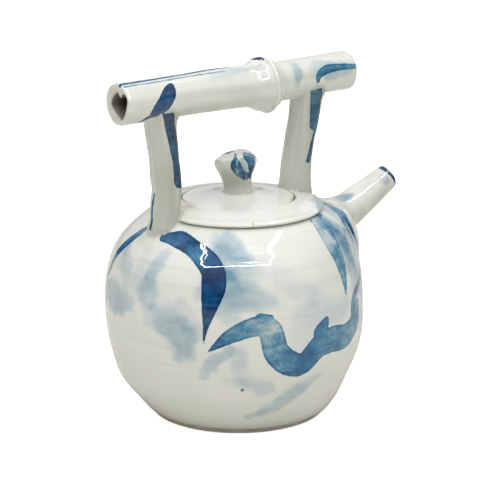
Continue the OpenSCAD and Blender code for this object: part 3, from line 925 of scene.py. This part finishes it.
def build_spout():
    cols = 120
    d = np.array([math.cos(SPOUT_ANGLE), 0, math.sin(SPOUT_ANGLE)])
    up = np.array([-math.sin(SPOUT_ANGLE), 0, math.cos(SPOUT_ANGLE)])
    start = SPOUT_TIP - SPOUT_LEN * d
    ang = circle(cols)     # 0 on top, 90 degrees towards -Y
    radial = np.cos(ang)[:, None] * up + np.sin(ang)[:, None] * np.array([0, -1.0, 0])

    def radius(s):
        """Radius of each column at the distance s, which may differ from column to column."""
        r = np.interp(s, [60, 84, 90, 100, 110, 116, 118.6], [11.0, 10.3, 9.7, 8.7, 7.8, 7.2, 6.9])
        return r + 0.22 * value_noise(ang * 1.2 + 2, np.full(cols, s * 0.09), 17) + 0.18 * np.cos(4 * ang + 0.5)

    # where each generator leaves the body: march outwards until it is clear of the body's surface
    leave = np.full(cols, 66.0)
    for _ in range(200):
        p = start + leave[:, None] * d + radial * radius(leave)[:, None]
        level = np.clip(p[:, 2], 4, 113.4)
        q = p - body_shift(level)
        inside = np.hypot(q[:, 0], q[:, 1]) < body_radius(np.arctan2(q[:, 1], q[:, 0]), level)
        inside &= p[:, 2] < 113.5
        leave = np.where(inside, leave + 0.25, leave)
    fillet, spread = 9.0, 7.0              # how far the clay is smoothed along the tube and over the body
    middle_z, chart_mm = 99.0, 60.0        # height of the spout's axis at the body, and millimetres per radian there
    # root row: on the body's skin, outside the tube, so that the rows after it sweep up to the tube's own surface
    corner = start + leave[:, None] * d + radial * radius(leave)[:, None]
    foot_points = []
    for rim in corner:
        q = rim - body_shift(np.array(rim[2]))
        az = math.atan2(q[1], q[0])
        du, dz = az * chart_mm, rim[2] - middle_z
        length = math.hypot(du, dz) or 1.0
        z1 = min(rim[2] + dz / length * spread, 113.0)
        az1 = az + (du / length * spread) / chart_mm
        r1 = float(body_radius(np.array(az1), np.array(z1))) - 0.15
        foot_points.append(np.array([r1 * math.cos(az1), r1 * math.sin(az1), z1]) + body_shift(np.array(z1)))
    foot_points = np.array(foot_points)
    top_end = start + (leave + fillet)[:, None] * d + radial * radius(leave + fillet)[:, None]
    rows = [foot_points * np.array([0.93, 0.93, 1.0])]       # sunk into the wall, to close the piece
    for s in np.linspace(0, 1, 14):
        rows.append((1 - s) ** 2 * foot_points + 2 * s * (1 - s) * corner + s * s * top_end)
    s_end = 117.6
    for s in np.linspace(0, 1, 44)[1:]:
        along = (leave + fillet) * (1 - s) + s_end * s
        rows.append(start + along[:, None] * d + radial * radius(along)[:, None])
    skew = 0.5 * np.cos(ang + 0.4) + 0.25 * np.cos(3 * ang + 1)
    for out, inset in ((0.55, 0.2), (0.9, 0.75), (0.95, 1.35), (0.6, 1.85), (-0.6, 2.0)):
        rows.append(start + (s_end + out + skew * 0.6)[:, None] * d + radial * (radius(118.0) - inset)[:, None])
    for s in np.linspace(114, 78, 14):
        bore = np.interp(s, [78, 100, 114], [7.4, 5.4, 4.6])
        rows.append(start + s * d + radial * bore)
    rows.append(start + 70 * d + radial * 7.8)
    grid = np.array(rows)
    verts = grid.reshape(-1, 3)
    # brushwork: the body's near the root, a thin line round the lip
    attrs = body_paint(verts)
    s_of = (verts - start) @ d
    ring_ang = np.tile(np.degrees(ang), len(grid))
    away = span(76, 84, s_of - np.tile(leave, len(grid)) + 76)
    attrs["ink_edge"] = np.where(away > 0.5, NO_INK, attrs["ink_edge"])
    attrs["wash"] = attrs["wash"] * (1 - away)
    signed = np.where(ring_ang > 200, ring_ang - 360, ring_ang)
    own = paint(s_of, np.radians(signed) * 7.0,
                [(0.92, [(117.5, -9, 1), (117, 0, 1.5), (117.5, 10, 1.1), (118, 20, .6)])],
                [(0.8, [(83, 1, 2, .24), (87, 2, 2.5, .34), (90, 3, 1.5, .22)]),
                 (0.9, [(112, 6, 2.4, .10), (115, 9, 2, .16)])], 41)
    overlay(attrs, own)
    inner = np.repeat(np.arange(len(grid)) >= len(grid) - 15, cols)          # the bore
    leave_bare(attrs, inner)
    # painted shade: the underside of the spout darker, with random clouds, and a darker band where it leaves the body
    belly = 0.22 * bump(np.abs(signed), 120, 45)
    clouded = 0.20 * value_noise(s_of * 0.16, signed * 0.03 + 6, 14)
    attrs["pool_and_shade"] = np.clip(0.20 + belly + clouded, 0.02, 1) + 0.16 * bump(s_of, np.tile(leave, len(grid)) + 1.5, 2.5)
    # painted shade deep in the bore
    attrs["deep"] = np.where(inner, 0.7, 0)
    make_piece("spout_tube", grid, True, "pot", BUILT, "spout", attrs)


# ---------------------------------------------------------------- knob
def build_knob():
    """Hand-cut stub: waisted neck, faceted flare, top sliced down towards the left."""
    cols = 160
    ang = circle(cols)
    facets = 7
    levels = [(0.0, 8.9), (0.4, 8.2), (1.2, 7.75), (3, 7.6), (5, 7.8), (7, 8.2), (9, 8.9), (10.5, 9.4), (12, 9.9),
              (14, 10.6), (16, 11.1), (18, 11.4), (19.6, 11.45), (20.8, 11.2), (21.5, 10.6), (21.9, 9.6),
              (22.0, 7.6), (22.0, 5.0), (22.0, 2.5), (22.0, 0.8)]
    base_z = 121.6
    rows = []
    for h, r in levels:
        cut = span(4, 12, h)
        within = (ang * facets / (2 * math.pi) + 0.36) % 1.0 - 0.5
        poly = np.minimum(np.cos(math.pi / facets) / np.cos(within * 2 * math.pi / facets), 0.985)
        dents = 0.28 * value_noise(ang * 1.5, np.full(cols, h * 0.3), 21) * span(0, 3, h) * (1 - span(21, 22, h))
        rr = r * (1 + cut * (poly - 0.965)) + dents
        xy = rr[:, None] * np.column_stack([np.cos(ang), np.sin(ang)]) - RIGHT[:2] * 1.1 * span(3, 10, h)
        side = rr * (np.cos(ang) * RIGHT[0] + np.sin(ang) * RIGHT[1])
        slope = -0.26 * np.maximum(1.5 - side, 0) - 0.045 * np.maximum(side - 4.0, 0) ** 2
        rows.append(np.column_stack([xy, base_z + h + span(9, 21, h) * slope]))
    grid = np.array(rows)
    verts = grid.reshape(-1, 3)
    across = verts @ RIGHT
    h = verts[:, 2] - base_z
    front = (verts @ FRONT) > -1.0
    strokes = [
        (0.74, [(-1.5, 20.5, 1.4), (-1, 17, 3), (0, 14.5, 2.7), (2, 11.5, 1.8)]),
        (0.84, [(2, 13.5, 1.2), (3.5, 11, 2), (4, 10, 1.7)]),
        (0.78, [(7, 13, 1.2), (6.5, 10, 1.2)]),
        (0.80, [(4, 22.5, 1.6), (7, 18.5, 2.2), (7, 14.5, 1.5)]),
        (0.86, [(-12.5, 18, .6), (-7, 20, 1.3), (-2.5, 21.5, .5)]),
    ]
    attrs = paint(across, h, strokes, [(0.9, [(2.5, 20, 1.6, .2), (3, 12, 2, .25)])], 51)
    rim_line = attrs["brush"][:, 2] > 27
    behind = (verts @ FRONT) < -2.5
    attrs["ink_edge"] = np.where(np.where(rim_line, behind, front), attrs["ink_edge"], NO_INK)
    attrs["wash"] = np.where(front, attrs["wash"], 0)
    attrs["dry"] = np.where(front, 0.62, 0.1)
    # painted shade round the waisted neck, less towards the right, and a darker ring at the foot; painted light on the
    # top face, which drops the shade
    shaded = 0.95 * bump(h, 8.5, 8.5) * (1 - 0.45 * span(3, 8, across))
    top = span(-1.2, -0.2, h - 22 + 0.26 * np.maximum(1.5 - across, 0))
    attrs["pool_and_shade"] = np.maximum(np.maximum(0.7 * bump(h, 0.3, 1.0), shaded), 0.30) * (1 - 0.9 * top)
    make_piece("lid_knob_stub", grid, False, "lid", BUILT, "lid_knob", attrs)


build_body()
build_foot()
build_collar()
build_lid()
build_knob()
build_posts()
build_bar()
build_node_ring()
build_bud()
build_spout()

# ---------------------------------------------------------------- set, lights, camera
scene = bpy.context.scene


def floor_material():
    mat, nodes, links, shader = new_material("floor_paper")
    t = Tree(nodes, links)
    place = nodes.new("ShaderNodeTexCoord").outputs["Object"]
    links.new(t.mix(t.noise(place, 3, 2, 0.5), (0.70, 0.685, 0.63), (0.72, 0.705, 0.65)), shader.inputs["Base Color"])
    shader.inputs["Roughness"].default_value = 0.9
    shader.inputs["Specular IOR Level"].default_value = 0.1
    # the paper is over-lit in the picture, as on a light table, but throws back only a soft light
    seen = nodes.new("ShaderNodeLightPath").outputs["Is Camera Ray"]
    shader.inputs["Emission Color"].default_value = (1, 1, 1, 1)
    links.new(t.times(seen, 0.80), shader.inputs["Emission Strength"])
    return mat


floor_mesh = bpy.data.meshes.new("floor")
floor_mesh.from_pydata([(-6, -6, 0), (6, -6, 0), (6, 6, 0), (-6, 6, 0)], [], [(0, 1, 2, 3)])
floor_mesh.materials.append(floor_material())
floor = bpy.data.objects.new("floor", floor_mesh)
scene.collection.objects.link(floor)

world = bpy.data.worlds.new("studio")
world.use_nodes = True
scene.world = world
sky = Tree(world.node_tree.nodes, world.node_tree.links)
way = world.node_tree.nodes.new("ShaderNodeSeparateXYZ")
world.node_tree.links.new(world.node_tree.nodes.new("ShaderNodeTexCoord").outputs["Generated"], way.inputs[0])
backdrop = world.node_tree.nodes["Background"]
backdrop.inputs[0].default_value = (1.0, 1.0, 0.97, 1)
world.node_tree.links.new(sky.ramp(way.outputs[2], 0.10, 0.95, 0.11, 0.90), backdrop.inputs[1])

AIM = Vector((0.00125, 0.0, 0.0945))
AZ, EL, DIST = -36.5, 15.46, 1.417


def area_light(name, place, size_x, size_y, power, aim=AIM, colour=(1, 1, 1)):
    data = bpy.data.lights.new(name, "AREA")
    data.shape = "RECTANGLE"
    data.size = size_x
    data.size_y = size_y
    data.energy = power
    data.color = colour
    lamp = bpy.data.objects.new(name, data)
    scene.collection.objects.link(lamp)
    lamp.location = place
    lamp.rotation_euler = (Vector(aim) - Vector(place)).to_track_quat("-Z", "Y").to_euler()
    return lamp


def toward(az, el, dist):
    a, e = math.radians(az), math.radians(el)
    return Vector((dist * math.sin(a) * math.cos(e), -dist * math.cos(a) * math.cos(e), dist * math.sin(e) + 0.09))


area_light("overhead", toward(AZ, 68, 1.7), 2.8, 2.4, 26).visible_glossy = False
area_light("front_left", toward(AZ - 55, 38, 1.8), 1.0, 1.2, 0.6).visible_glossy = False
# a white panel behind the pot, mirrored at a low angle in the lid and along the edges
back_panel = area_light("back_panel", toward(AZ + 180, 16, 2.4), 3.2, 1.2, 5.5)
back_panel.visible_diffuse = False
area_light("shoulder_soft", toward(AZ + 24, 66, 1.6), 0.6, 0.3, 0.7)
area_light("right_side", toward(AZ + 70, 30, 1.8), 0.9, 1.2, 0.6)

camera_data = bpy.data.cameras.new("camera")
camera_data.lens = 195.645
camera_data.sensor_width = 36
camera_data.clip_start = 0.05
camera_data.clip_end = 50
camera = bpy.data.objects.new("camera", camera_data)
scene.collection.objects.link(camera)
a, e = math.radians(AZ), math.radians(EL)
camera.location = AIM + DIST * Vector((math.sin(a) * math.cos(e), -math.cos(a) * math.cos(e), math.sin(e)))
camera.rotation_euler = (AIM - camera.location).to_track_quat("-Z", "Y").to_euler()
scene.camera = camera


def glint(name, from_point, to_point, width, radiance, reach=1.6):
    """Thin strip light placed so that the shoulder mirrors it between two chart points."""
    ways, spots = [], []
    for degrees, z in (from_point, to_point):
        az = math.radians(FACE_DEG + degrees + LEAN_DEG * float(lean_fade(z)))
        r = float(body_profile(np.array(z)))
        slope = float(body_profile(np.array(z + 0.05)) - body_profile(np.array(z - 0.05))) / 0.1
        normal = Vector((math.cos(az), math.sin(az), -slope)).normalized()
        spot = Vector((r * math.cos(az), r * math.sin(az), z)) * MM
        view = (camera.location - spot).normalized()
        ways.append(2 * normal.dot(view) * normal - view)
        spots.append(spot)
    ends = [spot + reach * way for spot, way in zip(spots, ways)]
    middle, spot = (ends[0] + ends[1]) / 2, (spots[0] + spots[1]) / 2
    long_axis = (ends[1] - ends[0]).normalized()
    back = (middle - spot).normalized()
    short_axis = back.cross(long_axis).normalized()
    back = long_axis.cross(short_axis)
    length = (ends[1] - ends[0]).length
    lamp = area_light(name, middle, length, width, radiance * math.pi * length * width)
    lamp.visible_diffuse = False
    lamp.rotation_euler = Matrix((long_axis, short_axis, back)).transposed().to_euler()


GLINTS = [
    ((-15, 97), (15, 97), 0.026, 50),
    ((-21, 107), (-17, 104), 0.026, 50), ((-17, 104), (-18, 101), 0.026, 60), ((-18, 101), (-15, 97), 0.026, 60),
    ((-19, 107), (-15, 103), 0.014, 36), ((-15, 103), (-16, 101), 0.014, 36),
    ((27, 111), (15, 103), 0.028, 50), ((15, 103), (18, 100), 0.026, 60), ((18, 100), (15, 97), 0.026, 60),
    ((29, 111), (17, 103), 0.016, 36), ((17, 103), (20, 100), 0.014, 36),
]
for number, (start_at, stop_at, width, radiance) in enumerate(GLINTS):
    glint("edge_glint_%d" % number, start_at, stop_at, width, radiance)
scene.view_settings.view_transform = "Standard"
